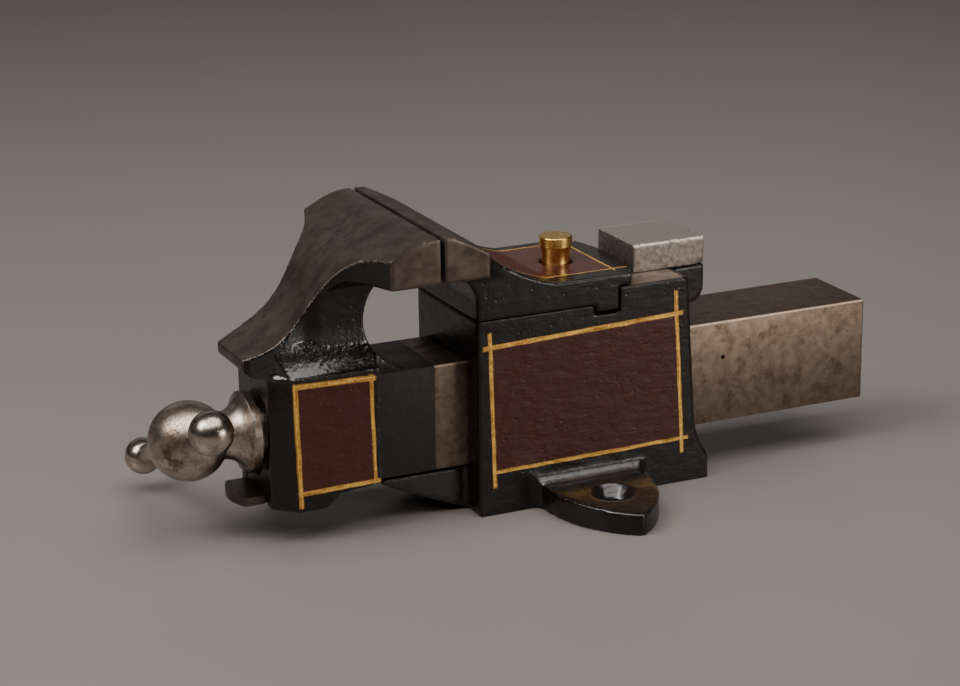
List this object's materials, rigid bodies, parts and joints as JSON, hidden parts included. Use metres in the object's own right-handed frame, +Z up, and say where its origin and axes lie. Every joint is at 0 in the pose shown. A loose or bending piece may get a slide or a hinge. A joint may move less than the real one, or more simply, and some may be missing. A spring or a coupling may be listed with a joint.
{
  "type": "bench vise",
  "caption": "Small bolt-down bench vise: swivel rear jaw with lock pin and anvil, hollow steel slide, ball-headed screw with sliding handle.",
  "frame": {"origin": "underside of the base, midway between the two lug holes", "axes": "+X runs to the rear along the slide, the handle is towards -X, the two lugs lie along Y, +Z is up"},
  "size_m": [0.2209, 0.108, 0.0864],
  "materials": {
    "black_paint": "glossy black enamel over cast iron, maroon panels edged with gold lines",
    "jaw_steel": "dark bare steel, filed and worn",
    "bare_steel": "brown-grey aged steel",
    "screw_steel": "hand-polished steel with brown stain in the hollows",
    "brass": "worn turned brass"
  },
  "bodies": {
    "base": {"base_body": "black_paint", "anvil_block": "bare_steel", "anvil_dowels": "bare_steel", "main_nut": "bare_steel", "nut_bolt": "bare_steel"},
    "rear_jaw": {"swivel_jaw": "black_paint", "rear_jaw_plate": "jaw_steel", "rear_plate_rivets": "jaw_steel", "swivel_bolt": "bare_steel", "swivel_washer": "bare_steel"},
    "lock_pin": {"lock_pin": "bare_steel", "lock_pin_knob": "brass"},
    "front_jaw": {"front_jaw": "black_paint", "front_jaw_plate": "jaw_steel", "front_plate_rivets": "jaw_steel", "slide_bar": "bare_steel", "slide_screws": "bare_steel", "thrust_washer": "bare_steel"},
    "screw": {"screw": "screw_steel"},
    "handle": {"handle_rod": "screw_steel", "handle_ball_near": "screw_steel", "handle_ball_far": "screw_steel"},
    "keeper": {"screw_keeper": "jaw_steel"}
  },
  "joints": [
    {"name": "jaw_slide", "type": "slide", "parent": "base", "child": "front_jaw", "axis": [-1, 0, 0], "range_m": [0, 0.05]},
    {"name": "screw_turn", "type": "hinge", "parent": "front_jaw", "child": "screw", "pos_m": [-0.1131, 0, 0.0292], "axis": [-1, 0, 0], "range_deg": [0, 6001]},
    {"name": "handle_slide", "type": "slide", "parent": "screw", "child": "handle", "axis": [0, -0.9205, 0.3907], "range_m": [-0.0047, 0.0295]},
    {"name": "keeper_slide", "type": "slide", "parent": "front_jaw", "child": "keeper", "axis": [0, 0, -1], "range_m": [0, 0.008]},
    {"name": "jaw_swivel", "type": "hinge", "parent": "base", "child": "rear_jaw", "pos_m": [-0.022, 0, 0.0577], "axis": [0, 0, 1], "range_deg": [-1.7, 1.7]},
    {"name": "pin_lift", "type": "slide", "parent": "rear_jaw", "child": "lock_pin", "axis": [0, 0, 1], "range_m": [0, 0.022]}
  ],
  "couplings": [
    {"joint": "screw_turn", "follows": "jaw_slide", "rad_per_m": 2094.4}
  ]
}
